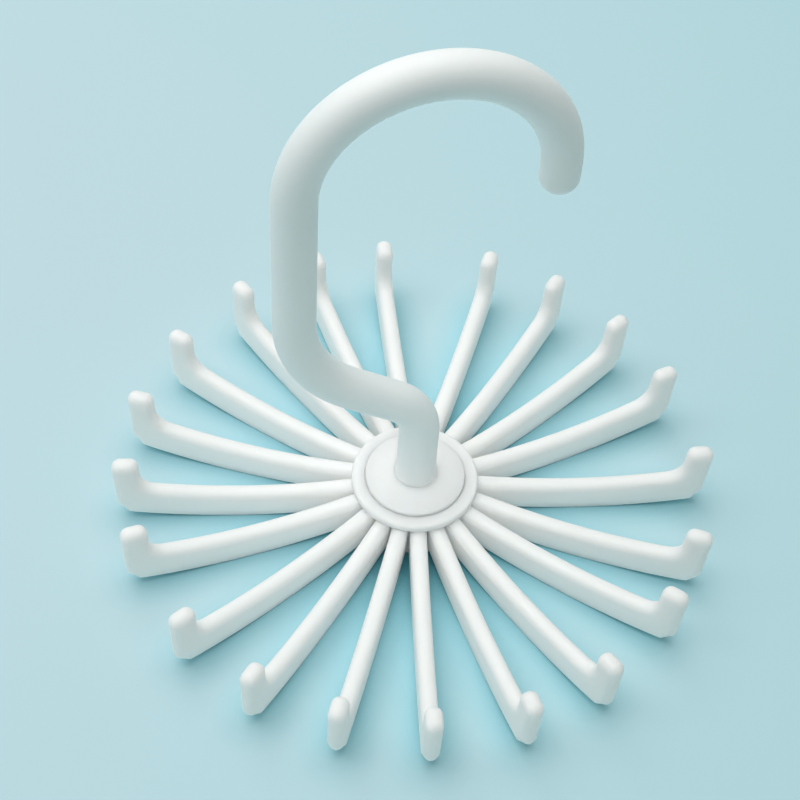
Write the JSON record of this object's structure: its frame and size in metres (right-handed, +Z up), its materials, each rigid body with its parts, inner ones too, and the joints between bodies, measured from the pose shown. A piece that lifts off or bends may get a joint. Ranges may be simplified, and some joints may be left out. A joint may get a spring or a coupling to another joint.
{
  "type": "rotating closet hook",
  "caption": "Carousel of upturned arms round a flat hub that swivels under a bent rod hook, for hanging belts, ties and scarves from a closet rod.",
  "frame": {"origin": "on the swivel axis, in the plane of the base cap's flat underside", "axes": "+Z up along the swivel axis towards the hook; the rod hook is bent in the XZ plane with its tip towards +X"},
  "size_m": [0.1556, 0.1561, 0.156],
  "materials": {
    "arm_plastic": "white satin moulding",
    "hub_plastic": "white satin moulding",
    "hook_plastic": "white satin moulding",
    "zinc_steel": "zinc-plated"
  },
  "bodies": {
    "carousel": {"base_cap": "hub_plastic", "hub_core": "hub_plastic", "hub_cap": "hub_plastic", "arm_01": "arm_plastic", "arm_02": "arm_plastic", "arm_03": "arm_plastic", "arm_04": "arm_plastic", "arm_05": "arm_plastic", "arm_06": "arm_plastic", "arm_07": "arm_plastic", "arm_08": "arm_plastic", "arm_09": "arm_plastic", "arm_10": "arm_plastic", "arm_11": "arm_plastic", "arm_12": "arm_plastic", "arm_13": "arm_plastic", "arm_14": "arm_plastic", "arm_15": "arm_plastic", "arm_16": "arm_plastic", "arm_17": "arm_plastic", "arm_18": "arm_plastic", "arm_19": "arm_plastic", "arm_20": "arm_plastic"},
    "hook": {"hook_rod": "hook_plastic", "swivel_disc": "hub_plastic", "retaining_washer": "zinc_steel", "retaining_screw": "zinc_steel"}
  },
  "joints": [
    {"name": "hook_swivel", "type": "hinge", "parent": "carousel", "child": "hook", "pos_m": [0, 0, 0.0164], "axis": [0, 0, 1], "continuous": true}
  ]
}
